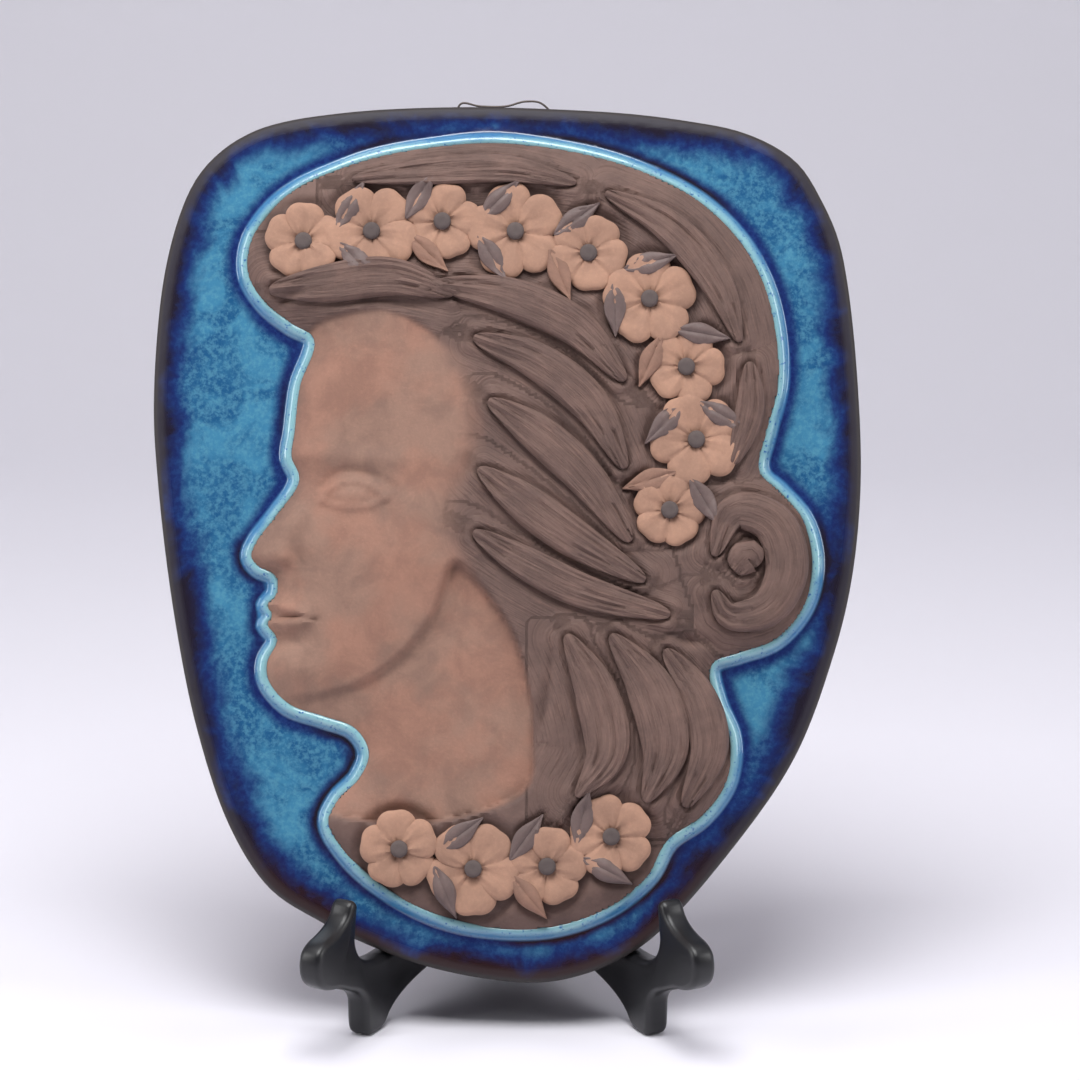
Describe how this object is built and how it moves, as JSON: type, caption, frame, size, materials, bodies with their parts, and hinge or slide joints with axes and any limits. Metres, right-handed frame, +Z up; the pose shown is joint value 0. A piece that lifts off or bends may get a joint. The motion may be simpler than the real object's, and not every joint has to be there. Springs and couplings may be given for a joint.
{
  "type": "decorative ceramic wall plaque on a plate easel",
  "caption": "Rounded ceramic plaque with a raised profile head, flowers and leaves on a blue glazed ground, leaning on a black two-board easel.",
  "frame": {"origin": "middle of the footprint on the table, under the object", "axes": "+Z up, the decorated face looks towards -Y and leans back by 20 degrees, +X to the viewer's right"},
  "size_m": [0.291, 0.182, 0.3599],
  "materials": {
    "glazed_clay": "bare matt clay relief, gloss blue glazed ground",
    "steel_wire": "dull, slightly rusted",
    "stand_black": "satin black"
  },
  "bodies": {
    "root": {"plaque": "glazed_clay", "hanging_wire": "steel_wire", "stand_arm_left": "stand_black", "stand_arm_right": "stand_black"}
  },
  "joints": []
}
